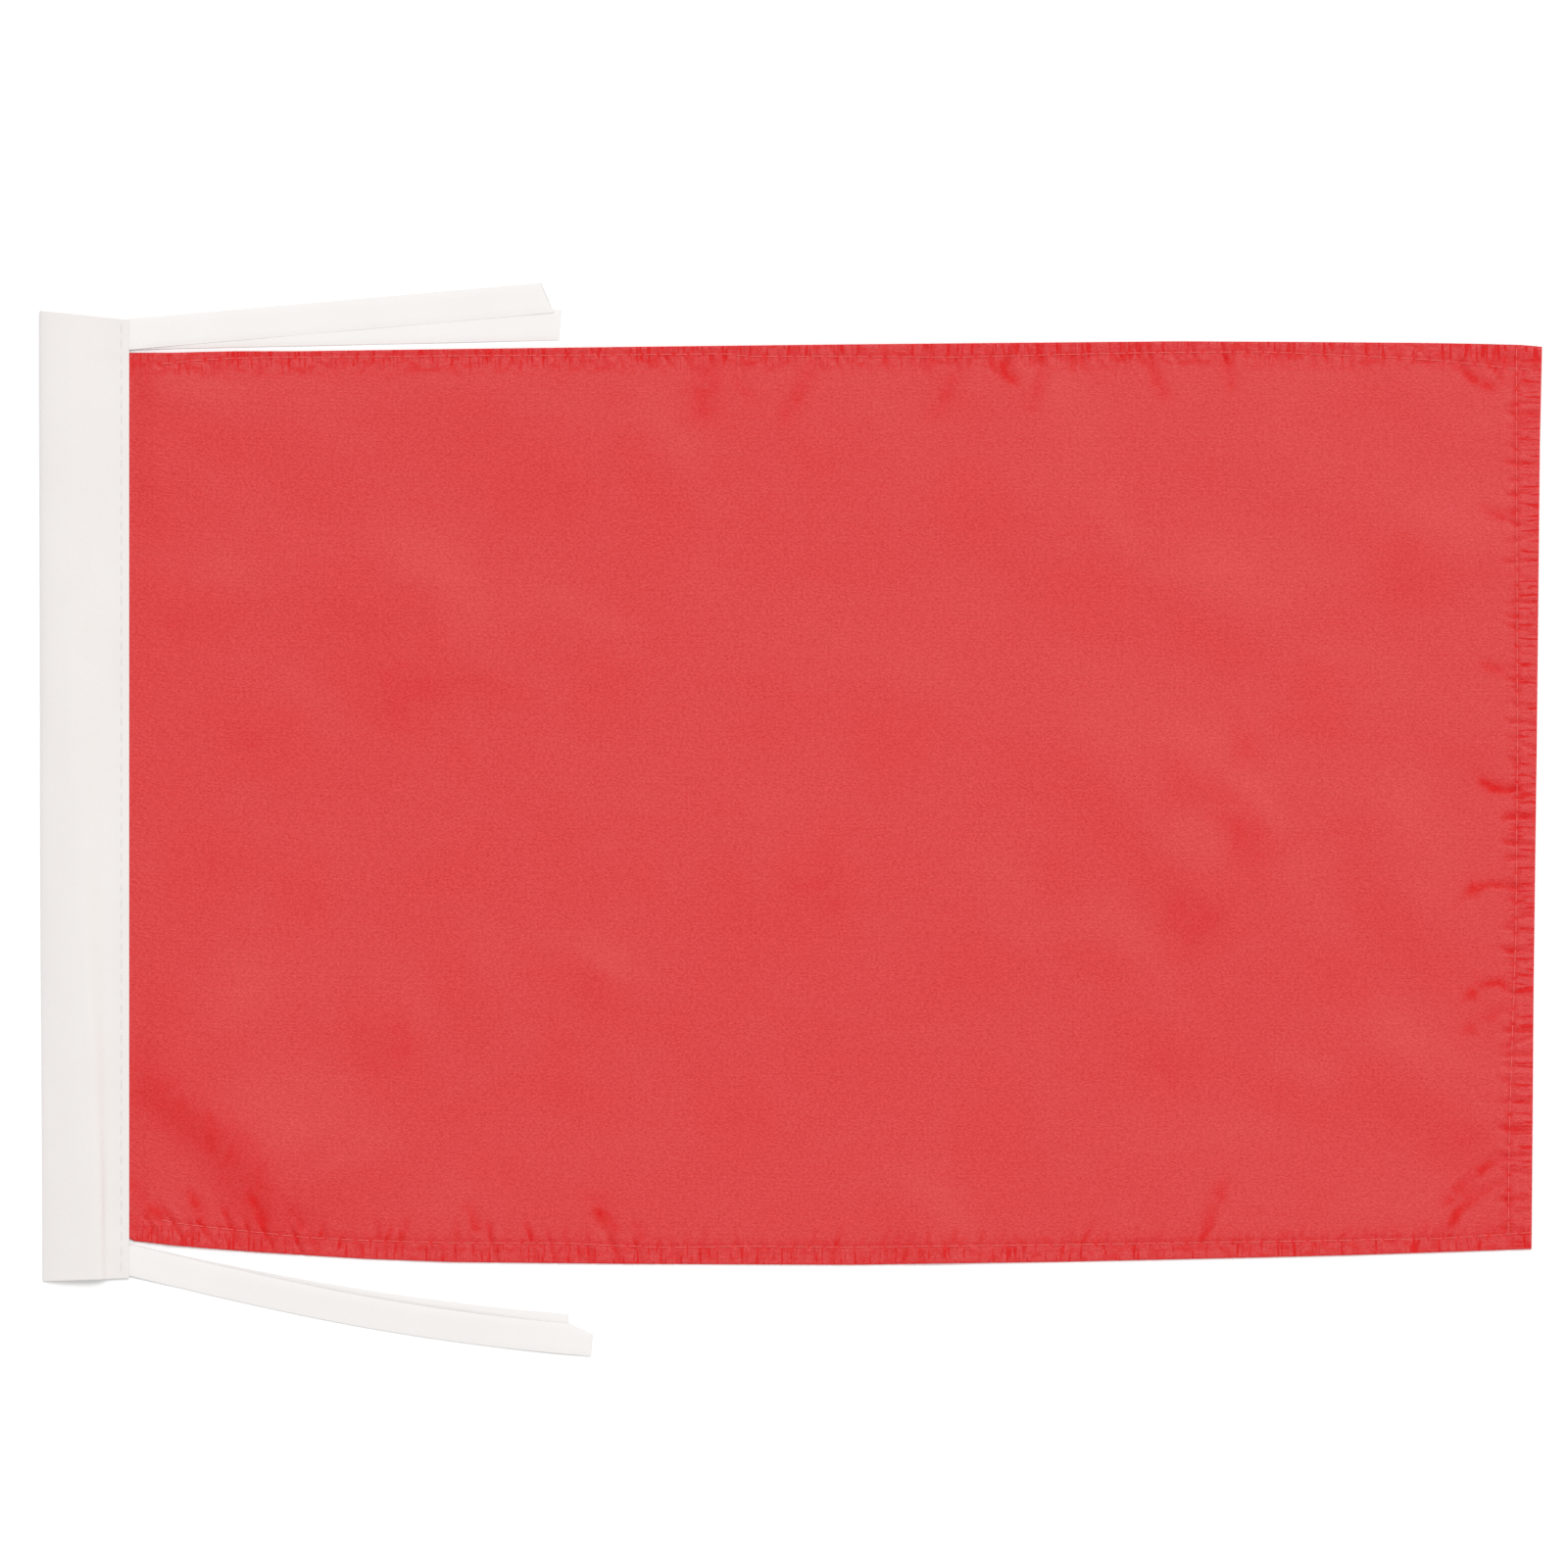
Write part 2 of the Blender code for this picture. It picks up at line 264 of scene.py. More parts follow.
def bump(tree, height, distance, strength, under=None):
    """A relief of that height in metres, on top of another one."""
    sockets = {"Height": height, "Distance": distance, "Strength": strength}
    if under:
        sockets["Normal"] = under
    return shade(tree, "Bump", None, sockets).outputs[0]


def new_material(name):
    """An empty material tree with its principled shader."""
    material = bpy.data.materials.new(name)
    material.use_nodes = True
    return material, material.node_tree, material.node_tree.nodes["Principled BSDF"]


def woven_tape(name, light, shadow, pitch):
    """White polyester tape: a fine plain weave, slightly uneven in thickness and tone."""
    material, tree, shader = new_material(name)
    cloud = spread(tree, noise(tree, (0.055, 0.035), 2.0, 0.6), 0.0, 1.0)
    colour = blended(tree, cloud, shadow, light)
    grain = spread(tree, noise(tree, (1.7, 1.4), 2.0), 0.984, 1.014)
    tree.links.new(times(tree, colour, grain), shader.inputs["Base Color"])
    rough = spread(tree, noise(tree, (1.2, 1.2), 1.0), 0.66, 0.80)
    tree.links.new(rough, shader.inputs["Roughness"])
    relief = bump(tree, noise(tree, (1.1, 1.0), 3.0), 0.00008, 0.4)
    relief = bump(tree, plain_weave(tree, pitch), 0.00004, 0.4, relief)
    tree.links.new(relief, shader.inputs["Normal"])
    shader.inputs["Specular IOR Level"].default_value = 0.35
    shader.inputs["Sheen Weight"].default_value = 0.08
    shader.inputs["Sheen Roughness"].default_value = 0.5
    return material


WHITE_TAPE = woven_tape("white_woven_tape", (0.728, 0.695, 0.675), (0.710, 0.676, 0.655), 0.48)


def heading_section(y):
    """Mid-line of the folded tape at each Y: seam, back ply, fold, front ply, seam. The front ply
    bulges up to a crown, which wanders across the sleeve."""
    crown = eased(y, (-157, -133, -88, -49, 0, 45, 110, 157),
                  (3.6, 3.4, 1.8, -0.6, -2.6, -4.0, -5.2, -6.0))
    top = eased(y, (-157, -120, -60, 10, 90, 157), (4.2, 4.2, 3.9, 3.7, 3.6, 3.6))
    fold = eased(y, (-157, -90, 20, 157), (1.4, 1.6, 1.9, 2.0))
    left = eased(y, (-157, 0, 157), (1.15, 0.45, 0.15)) + FOLD_EDGE + TAPE / 2
    floor = TAPE / 2 + 0 * y
    right = SEAM_START + 0 * y
    edge = SEWN_EDGE + 0 * y
    back = SEAM_BACK + 0 * y
    face = seam_front(y)
    pieces = [
        arc((edge, back), (edge - 1.5, back), (right + 1.5, back), (right, back), 5),
        arc((right, back), (right - 1.8, back), (right - 1.8, floor), (right - 3.6, floor), 5),
        arc((right - 3.6, floor), (right - 8, floor), (left + 8, floor), (left + 1.8, floor), 10),
        arc((left + 1.8, floor), (left + 0.6, floor), (left, 0.2 * fold), (left, 0.45 * fold), 8),
        arc((left, 0.45 * fold), (left, 1.05 * fold), (crown - 8.0, top), (crown, top), 26),
        arc((crown, top), (crown + 4.0, top), (right - 4.6, face + 0.3), (right, face), 16),
        arc((right, face), (right + 1.5, face), (edge - 1.5, face), (edge, face - 0.06), 5),
    ]
    x = np.concatenate([piece[0] for piece in pieces] + [edge[None, :]])
    z = np.concatenate([piece[1] for piece in pieces] + [face[None, :] - 0.06])
    return x, z


def heading_relief(x, y):
    """Wrinkles of the front ply: one long ridge that wanders across the sleeve, and small dents,
    each as (start, end, width, rise)."""
    ridges = (
        ((-5.1, 62), (-4.4, -6), 1.5, 0.10), ((-2.2, 8), (-1.4, -52), 1.6, 0.10),
        ((1.4, -42), (2.6, -92), 1.7, 0.10), ((5.4, -84), (6.6, -140), 1.8, 0.06),
        ((9.2, 152), (7.6, 144), 0.7, 0.20), ((-12, -86), (-8, -124), 4.5, -0.22),
        ((-9, 118), (-3, 96), 4.0, -0.12), ((3, 60), (8, 38), 3.6, -0.10),
        ((-11, 20), (-9, -30), 3.2, -0.12), ((-10, -132), (2, -146), 4.2, -0.18),
        ((-2, 142), (6, 120), 3.2, 0.08), ((8, 20), (9, -10), 1.6, 0.06),
        ((6, -20), (9.5, -34), 1.8, 0.08), ((7, 84), (10, 70), 1.6, 0.06),
    )
    return sum(crease(x, y, (start, end), (width, width), rise) for start, end, width, rise in ridges)


def rounded(inside):
    """Share of a tape's thickness at a distance inside its rim, which is rounded."""
    return np.sqrt(np.clip(1 - (1 - np.clip(inside / 0.15, 0, 1)) ** 2, 0, 1))


def fine_ends(line, shares):
    """A line with more points in its first and its last step, at these shares of the step."""
    first = line[0] + (line[1] - line[0]) * shares
    last = line[-1] + (line[-2] - line[-1]) * shares[::-1]
    return np.concatenate([line[:1], first, line[1:-1], last, line[-1:]])


def make_heading():
    """The folded tape, with its cut ends aslant as they lie, and fine points along its rim."""
    rim = np.array([0, 0.04, 0.10, 0.20])
    even = np.linspace(-HEADING_END + 0.5, HEADING_END - 0.5, 209)
    rows = np.concatenate([rim - HEADING_END, even, HEADING_END - rim[::-1]])
    x, z = (fine_ends(line, rim[1:, None]) for line in heading_section(rows))
    y = np.broadcast_to(rows, x.shape).copy()
    share = (x - FOLD_EDGE) / (SEWN_EDGE - FOLD_EDGE)
    end = np.abs(y) / HEADING_END
    y += np.where(y > 0, 1.7 - 3.0 * share, -0.9 + 1.0 * share) * end ** 8
    in_front = np.linspace(0, 1, len(x))[:, None] > 0.46
    between_edges = eased(x, (-13.0, -9.5, 8.5, 10.5), (0, 1, 1, 0))
    z = z + np.where(in_front, heading_relief(x, y), 0) * between_edges
    run_x = np.gradient(x, axis=0)
    run_z = np.gradient(z, axis=0)
    size = np.hypot(run_x, run_z)
    lengths = np.cumsum(np.hypot(np.diff(x, axis=0), np.diff(z, axis=0)), axis=0)
    around = np.concatenate([np.zeros((1, len(rows))), lengths])
    inside = np.minimum(np.minimum(around, around[-1] - around), HEADING_END - np.abs(rows))
    half = TAPE / 2 * rounded(inside)
    step = np.stack([-run_z / size * half, 0 * half, run_x / size * half], axis=-1)
    middle = np.stack([x, y, z], axis=-1)
    maps = {"cut_cloth": np.stack([around, y], axis=-1)}
    sleeve = cloth_piece("heading_sleeve", middle + step, middle - step, maps, WHITE_TAPE)
    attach(sleeve, "heading")
    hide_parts("heading")


make_heading()


# ---------------------------------------------------------------- field
# One piece of red woven polyester, 0.3 mm thick. Its top, bottom and fly edges are folded to the
# back twice and stitched near the inner fold, which gathers the cloth into small puckers. Its
# hoist edge has no hem and runs into the heading's seam.

CLOTH = 0.30
HEM_PLIES = 3
STITCH = 4.9
INNER_FOLD = 1.6
SETTLED = 0.25
PUCKER_REACH = 30
SMALL_RISES = 120


def top_edge(x):
    """Y of the field's top edge, from the hoist out to the fly."""
    stops = (14.6, 28.6, 35.9, 49, 69.6, 120, 176, 246, 300, 354, 392, 430, 449, 464, 473)
    rise = (144.1, 144.1, 144.3, 144.6, 144.6, 145.3, 146.0, 146.8,
            147.3, 147.8, 147.6, 147.3, 147.0, 146.6, 145.8)
    return np.interp(x, stops, rise)


def bottom_edge(x):
    """Y of the field's bottom edge, from the hoist out to the fly."""
    stops = (14.6, 16.2, 22, 28.6, 43, 55, 74, 92, 119, 176, 249, 320, 386, 410, 441, 469)
    drop = (143.0, 143.9, 144.5, 145.3, 146.5, 147.4, 148.6, 149.7,
            150.7, 151.3, 151.6, 150.6, 149.1, 148.5, 147.5, 146.5)
    return -np.interp(x, stops, drop)


def fly_edge(y):
    """X of the field's fly edge, from the bottom corner up to the top one."""
    return np.interp(y, (-146.5, -110, -59, 17, 114, 146), (469.2, 469.5, 469.9, 470.9, 471.9, 472.6))


def top_stitch(x):
    """How far inside the top edge its stitch line runs."""
    stops = (15, 26, 36, 47, 64, 120, 176, 207, 216, 246, 284, 326, 383, 425, 441, 452, 463)
    depth = (4.3, 3.5, 2.7, 2.3, 2.0, 2.2, 2.6, 2.6, 3.5, 3.9, 4.5, 3.8, 3.3, 4.8, 5.7, 6.7, 7.6)
    return np.interp(x, stops, depth)


def bottom_stitch(x):
    """How far inside the bottom edge its stitch line runs."""
    stops = (16, 24, 33, 53, 73, 110, 154, 188, 212, 320, 425, 439, 453, 469)
    depth = (7.5, 7.9, 7.2, 6.6, 5.8, 6.2, 6.6, 5.4, 5.9, 5.6, 4.8, 4.5, 4.9, 5.4)
    return np.interp(x, stops, depth)


def fly_stitch(y):
    """How far inside the fly edge its stitch line runs."""
    return np.interp(y, (-140, -110, -45, 17, 114, 146), (7.6, 7.6, 6.0, 6.3, 7.6, 8.3))


def puckers(seed, reach, reach_in, strong, between):
    """Places along a hem where the stitching gathers the cloth: the strong ones as (place,
    strength, lean), and weaker ones between them every 6 mm or so. reach_in scales how far they
    run into the panel."""
    draw = np.random.RandomState(seed)
    places = list(strong)
    at = reach[0]
    while at < reach[1]:
        at += draw.uniform(3.5, 8.5)
        weak = between(at) * draw.uniform(0.35, 1.0)
        if min(abs(at - spot[0]) for spot in strong) > 2.6:
            places.append((at, weak, draw.uniform(-0.45, 0.45)))
    made = []
    for place, strength, lean in places:
        made.append({
            "place": place,
            "depth": 0.40 * strength,
            "width": draw.uniform(0.55, 0.85) * (0.75 + 0.25 * strength),
            "lean": lean,
            "bow": draw.uniform(-0.05, 0.05),
            "inward": draw.uniform(3.0, 7.0) * (0.4 + 0.8 * strength) * reach_in,
            "outward": draw.uniform(0.2, 1.0),
        })
    return made


TOP_PUCKERS = puckers(11, (16, 462), 0.8, (
    (40, 0.5, 0.2), (66, 0.5, 0.3), (112, 0.5, 0.1), (188, 0.9, 0.5), (203, 1.3, 0.2), (208, 0.8, -0.5),
    (237.5, 1.0, 0.4), (243, 0.7, 0.5), (271.8, 1.2, -0.2), (281.7, 0.9, 0.3), (299.5, 1.4, -0.3),
    (310.3, 1.0, 0.1), (320.1, 1.0, 0.2), (336.3, 0.9, 0.0), (345.2, 1.3, 0.2), (359.5, 1.0, 0.3),
    (369.4, 1.3, 0.2), (398, 0.7, 0.0), (410, 0.8, 0.2), (446, 1.0, 0.4), (457, 1.0, 0.5)),
    lambda at: np.interp(at, (16, 160, 260, 462), (0.5, 0.7, 0.95, 0.85)))
BOTTOM_PUCKERS = puckers(23, (16, 462), 0.8, (
    (20, 1.3, -0.6), (28.3, 1.3, -0.7), (37.5, 1.2, -0.8), (47.4, 1.4, -0.5), (58.5, 1.5, -0.5),
    (68.2, 1.4, -0.4), (76, 1.1, 0.3), (94.7, 1.1, 0.2), (102.2, 1.3, 0.1), (120.2, 1.1, 0.1),
    (132, 1.5, -0.3), (145, 1.2, -0.2), (171, 1.6, -0.4), (179, 1.3, -0.3), (200, 0.8, 0.2),
    (243.2, 1.0, 0.3), (258.1, 1.0, 0.3), (267, 0.8, 0.4), (281, 1.0, 0.3), (290, 0.8, 0.2),
    (323.3, 1.0, 0.3), (346.8, 0.9, 0.3), (361.5, 1.3, 0.4), (442, 1.1, 0.2)),
    lambda at: np.interp(at, (16, 180, 260, 462), (1.1, 0.9, 0.75, 0.7)))
FLY_PUCKERS = puckers(37, (-143, 140), 0.45, (
    (11.8, 1.0, 0.0), (2.5, 1.6, -0.1), (-6.7, 1.2, 0.0), (-15.3, 1.2, 0.1), (-20.3, 0.9, 0.0),
    (-29.2, 1.5, 0.0), (-42.9, 0.9, 0.1), (-50.2, 1.2, 0.0), (-64, 0.7, 0.0), (-76, 1.0, 0.0),
    (-84, 0.8, 0.0), (-92, 0.8, 0.0), (-99, 0.9, 0.0), (-107.8, 1.1, 0.1), (-116.4, 1.3, 0.0),
    (-121.1, 0.9, 0.2), (-130.5, 1.3, 0.0), (-140.2, 1.0, 0.1), (24, 0.8, 0.1), (38, 0.9, 0.0),
    (58, 0.8, 0.1), (76, 0.9, -0.1), (92, 0.8, 0.0), (108, 0.9, 0.1), (124, 0.9, 0.0)),
    lambda at: 0.8)


def gathers(along, inside, stitch, found):
    """Height that a hem's puckers add, and how much painted shade each point gets in their valleys. They
    are narrow valleys, steeper on one side, which run from the edge through the stitch line into the
    panel."""
    height = np.zeros_like(along)
    crease_shade = np.zeros_like(along)
    near = inside < PUCKER_REACH
    run = along[near]
    past = (inside - stitch)[near]
    total = np.zeros_like(run)
    valley_shade = np.zeros_like(run)
    for pucker in found:
        inward = np.clip(past, 0, None)
        bent = pucker["lean"] * past + pucker["bow"] * inward * inward
        off = (run - pucker["place"] - bent) / (pucker["width"] * (1 + 0.07 * inward))
        off = np.where(off > 0, off * 0.75, off * 1.8)
        ridge = 0.25 * np.exp(-((off - 2.4) / 1.4) ** 2)
        side = pucker["outward"]
        reach = pucker["inward"]
        hold = eased(past, (-9, -2.5, -0.6, 0.8, 0.4 * reach + 1, reach + 2),
                     (0.7 * side, side, 0.6, 1, 0.6, 0))
        valley = np.exp(-off * off)
        total += pucker["depth"] * hold * (ridge - valley)
        # Painted shade in each pucker valley: the deeper the pucker, the darker its valley is painted.
        shade_strength = np.clip(2.2 * pucker["depth"] * hold, 0, 1)
        valley_shade = np.maximum(valley_shade, shade_strength * np.exp(-(off * off / 2.2) ** 2))
    height[near] = total
    crease_shade[near] = valley_shade
    return height, crease_shade


# The largest fold, across the lower hoist corner.
CORNER_FOLD = (((12, -80), (32, -96), (50, -112), (60, -128), (64, -141)), (8.5, 50.0), 2.6)

# Folds as (path of points, widths away from the lamp and towards it, rise).
BROAD_FOLDS = (
    CORNER_FOLD, (((0, -118), (20, -127)), (6.0, 9.0), 0.5),
    (((12, 96), (28, 112), (44, 130)), (12.0, 22.0), 0.5), (((16, 76), (34, 100)), (9.0, 9.0), -0.35),
    (((16, 138), (34, 130), (52, 116)), (8.0, 12.0), 0.35),
    (((118, 68), (118, 42), (98, 8)), (7.0, 26.0), 0.5),
    (((318, 24), (344, -10), (374, -44)), (12.0, 26.0), 0.75),
    (((344, 34), (356, 4), (388, -34)), (5.0, 12.0), 0.22),
    (((394, -20), (386, -44), (378, -66)), (6.0, 16.0), 0.3),
    (((444, 8), (438, -12), (430, -34)), (4.0, 9.0), -0.35),
    (((352, -78), (344, -96), (336, -112)), (4.0, 9.0), -0.35),
)
SHARP_FOLDS = (
    (((14, -124), (20, -132), (27, -139)), (1.1, 2.6), -0.5),
    (((34, -127), (39, -138)), (1.0, 2.2), -0.45),
    (((50, -124), (55, -131), (60, -140)), (1.4, 3.2), -0.55),
    (((66, -133), (71, -141)), (0.9, 2.2), -0.45),
    (((237.5, 143), (232, 132), (226, 120)), (1.5, 3.0), -0.26),
    (((283, 141), (279, 130), (275, 122)), (1.5, 3.0), -0.22),
    (((297, 143), (299, 137), (303, 133)), (0.9, 2.0), -0.45),
    (((311, 141), (309, 132), (306, 124)), (1.4, 2.8), -0.22),
    (((203, 143), (201, 132), (198, 122)), (3.6, 6.0), -0.3),
    (((208, 143), (212, 134), (216, 126)), (1.1, 2.6), -0.22),
    (((345, 143), (348, 134), (352, 128)), (1.0, 2.6), -0.24),
    (((369, 143), (371, 136), (372, 130)), (0.9, 2.4), -0.24),
    (((464, -117), (455, -119), (446, -127), (440, -133)), (0.9, 1.8), -0.5),
    (((460, -125), (452, -129), (445, -135), (441, -142)), (0.9, 2.0), -0.55),
    (((463.5, -64), (459, -60), (453, -61), (446, -66)), (0.7, 1.5), -0.6),
    (((463, -29), (456, -28.6), (450, -30), (445, -34)), (0.7, 1.5), -0.6),
    (((463, 1.8), (456, 3.2), (450, 6.5)), (0.8, 2.0), -0.8),
    (((462, -68), (454, -72), (446, -76)), (1.0, 2.2), -0.3),
    (((456, 146), (460, 142), (465, 139)), (0.8, 1.6), -0.6),
    (((445, 140), (451, 135), (458, 132)), (0.8, 1.8), -0.5),
    (((440, 143), (447, 138)), (0.8, 1.8), -0.45), (((462, 40), (452, 43)), (0.8, 1.8), -0.3),
    (((462, 90), (454, 93)), (0.8, 1.8), -0.3), (((128, -142), (124, -132)), (0.9, 2.2), -0.35),
    (((173, -144), (168, -136), (164, -129)), (1.6, 3.2), -0.6),
    (((182, -144), (177, -138)), (0.8, 2.0), -0.35),
    (((362, -142), (366, -132), (370, -124)), (0.9, 2.4), -0.35),
)
# Patches as (x, y, length, width, angle in degrees, rise).
TILTED_PATCHES = (
    (376.4, 15.0, 9, 4.5, 10, 0.34), (358.0, 5.0, 10, 5.0, 20, 0.36), (376.0, -12.0, 14, 10.0, 30, 0.6),
    (360.0, -38.0, 20, 8.0, -20, 0.45), (351.0, -88.0, 20, 5.0, -40, 0.3),
    (115.0, 44.0, 24, 5.0, 85, 0.28), (102.0, 34.0, 30, 10.0, 60, 0.4), (122.0, 12.8, 7, 4.0, 10, 0.26),
    (183.0, -28.4, 8, 4.0, 10, 0.26), (166.0, -61.0, 9, 5.0, 40, 0.3), (154.5, -80.5, 12, 4.0, 5, 0.26),
    (160.0, -98.0, 14, 7.0, 60, 0.28), (98.0, -81.0, 24, 8.0, 10, 0.42),
    (199.5, 126.0, 16, 5.0, 82, 0.34), (237.0, -29.0, 26, 12.0, 10, 0.36),
    (400.0, 32.0, 28, 7.0, 80, 0.3), (71.0, -32.0, 22, 9.0, 10, 0.3),
    (444.0, -112.0, 20, 7.0, 60, 0.34), (237.0, 108.0, 12, 5.0, 40, 0.22),
    (22.0, 88.0, 16, 4.0, 5, 0.24), (34.0, 62.0, 30, 9.0, 40, 0.26), (42.0, -22.0, 34, 8.0, 15, 0.26),
    (386.0, -96.0, 16, 7.0, 70, 0.3), (322.0, 64.0, 26, 8.0, 75, 0.24),
    (296.0, -112.0, 30, 9.0, 5, 0.26), (428.0, 74.0, 30, 8.0, 80, 0.26),
    (148.0, 100.0, 34, 8.0, 0, 0.24), (262.0, 20.0, 34, 10.0, 60, 0.24),
    (212.0, -104.0, 26, 8.0, 20, 0.24), (286.0, 96.0, 26, 7.0, 60, 0.22),
    (60.0, 20.0, 30, 9.0, 30, 0.24), (134.0, -120.0, 22, 6.0, 10, 0.22),
    (410.0, -60.0, 18, 7.0, 50, 0.26),
)


def half_length(length, angle):
    """Half of a patch's length, as a step over the cloth."""
    turn = math.radians(angle)
    return np.array([math.cos(turn), math.sin(turn)]) * length / 2


def undulation(x, y):
    """Broad rises, folds and tilted patches of the cloth as it lies, which is never quite flat."""
    height = sum(crease(x, y, *fold) for fold in BROAD_FOLDS + SHARP_FOLDS)
    for at_x, at_y, length, width, angle, rise in TILTED_PATCHES:
        along = half_length(length, angle)
        crest = np.array([at_x, at_y]) + np.array(LAMP_WAY) * 0.7 * width
        height = height + crease(x, y, (crest - along, crest + along), (width, 3.2 * width), 0.85 * rise)
    draw = np.random.RandomState(5)
    for _ in range(SMALL_RISES):
        at_x = draw.uniform(10, 465)
        at_y = draw.uniform(-140, 140)
        size = draw.uniform(7, 30)
        turn = draw.uniform(0, math.pi)
        rise = draw.uniform(-1, 1) * 0.034 * size
        run = ((x - at_x) * math.cos(turn) + (y - at_y) * math.sin(turn)) / size
        off = ((y - at_y) * math.cos(turn) - (x - at_x) * math.sin(turn)) / size / 0.6
        height = height + rise * np.exp(-(run * run + off * off) ** 1.3)
    return height


def insets(x, y):
    """Distances inside the top, bottom and fly edges."""
    return top_edge(x) - y, y - bottom_edge(x), fly_edge(y) - x


def hem_share(x, y):
    """1 where the cloth is folded into a hem, 0 in the panel."""
    top, bottom, fly = insets(x, y)
    share = np.zeros_like(x)
    for inside, stitch in ((top, top_stitch(x)), (bottom, bottom_stitch(x)), (fly, fly_stitch(y))):
        share = np.maximum(share, eased(inside - stitch - INNER_FOLD, (-0.25, 0.25), (1, 0)))
    return share * eased(x, (SEWN_EDGE + 0.2, SEWN_EDGE + 3.2), (0, 1))


def fold_shade(x, y):
    """How much painted shade each point of the field gets from its folds and tilted patches, from 0 to 1.
    """
    crease_shade = np.zeros_like(x)
    # Painted shade in each sharp fold.
    for path, widths, rise in SHARP_FOLDS:
        width = 0.9 * widths[1]
        crease_shade = np.maximum(crease_shade, crease(x, y, path, (width, width), min(1, -1.8 * rise)))
    # Painted shade on the corner fold's side that faces away from the lamp.
    path, widths, rise = CORNER_FOLD
    slope = np.array(path) - np.array(LAMP_WAY) * 0.6 * widths[0]
    crease_shade = np.maximum(crease_shade, crease(x, y, slope, (widths[0], widths[0]), 0.22 * rise))
    # Painted shade over each tilted patch.
    for at_x, at_y, length, width, angle, rise in TILTED_PATCHES:
        along = half_length(length, angle)
        ends = (np.array([at_x, at_y]) - along, np.array([at_x, at_y]) + along)
        crease_shade = np.maximum(crease_shade, crease(x, y, ends, (1.5 * width, 1.5 * width), 0.60 * rise))
    return crease_shade


def front_face(x, y):
    """Height of the field's front face over the floor, and how much painted shade each point of it gets
    in folds, puckers and along the stitch lines.
    """
    top, bottom, fly = insets(x, y)
    lines = ((top, top_stitch(x), x, TOP_PUCKERS), (bottom, bottom_stitch(x), x, BOTTOM_PUCKERS),
             (fly, fly_stitch(y), y, FLY_PUCKERS))
    hems = np.zeros_like(x)
    loft = np.zeros_like(x)
    crease_shade = fold_shade(x, y)
    for inside, stitch, along, found in lines:
        past = inside - stitch
        hems = np.maximum(hems, eased(past, (1.0, 60.0), (1, 0)))
        hole = np.cos(math.tau * along / STITCH) * 0.5 + 0.5
        loft -= (0.08 + 0.26 * hole ** 3) * np.exp(-(past / 0.7) ** 2)
        loft -= 0.07 * np.exp(-((past + 0.45 * stitch) / 0.45) ** 2)
        pulled, valley_shade = gathers(along, inside, stitch, found)
        loft += pulled
        # Painted shade along each stitch line, darkest at the needle holes.
        stitch_line_shade = (0.35 + 0.45 * hole ** 3) * np.exp(-(past / 1.0) ** 2)
        crease_shade = np.maximum(crease_shade, np.maximum(valley_shade, stitch_line_shade))
    settle = SETTLED * np.logaddexp(0, undulation(x, y) / SETTLED + 0.6)
    height = np.maximum(settle + CLOTH + hems * (HEM_PLIES - 1) * CLOTH + loft, CLOTH + 0.03)
    seam = seam_level(1) + CLOTH / 2
    level = eased(x, (SEWN_EDGE - 0.5, SEWN_EDGE + 9), (1, 0))
    propped = eased(x, (SEWN_EDGE, SEWN_EDGE + 60), (0.45, 0)) * (1 - level)
    return height + (seam - height) * level + propped, crease_shade


def field_grid():
    """Points over the field as (x, y), with the middle block of the grid and its stride. band is
    how far inside an edge each line of points runs: close at the rim, wider through the hem."""
    rim = (0.0, 0.05, 0.18, 0.36, 0.60, 0.95)
    band = np.concatenate([rim, np.arange(1.55, 9.0, 0.68), np.arange(9.7, 16.5, 1.3)])
    stride = 6
    fine = STITCH / 8
    width = fly_edge(0.0) - SEAM_START
    height = 290.0
    inner = round((width - band[-1] - 2 * fine) / fine / stride) * stride
    middle = np.linspace(fine, width - band[-1] - fine, inner + 1)
    columns = np.concatenate([[0.0], middle, width - band[::-1]])
    from_fly = (width - columns)[:, None]
    inner_rows = round((height - 2 * band[-1]) / fine / stride) * stride
    share = np.linspace(0, 1, inner_rows + 1)
    x = SEAM_START + columns[:, None] + np.zeros(len(band) * 2 + len(share))
    for _ in range(3):
        bottom = bottom_edge(x.mean(axis=1))[:, None]
        top = top_edge(x.mean(axis=1))[:, None]
        reach = top - bottom - 2 * (band[-1] + fine)
        inner_y = bottom + band[-1] + fine + reach * share
        y = np.concatenate([bottom + band, inner_y, top - band[::-1]], axis=1)
        even = SEAM_START + columns[:, None] * (fly_edge(y) - SEAM_START) / width
        near_fly = eased(from_fly, (16, 60), (1, 0))
        x = (fly_edge(y) - from_fly) * near_fly + even * (1 - near_fly)
    return x, y, (1, 1 + inner, len(band), len(band) + inner_rows), stride


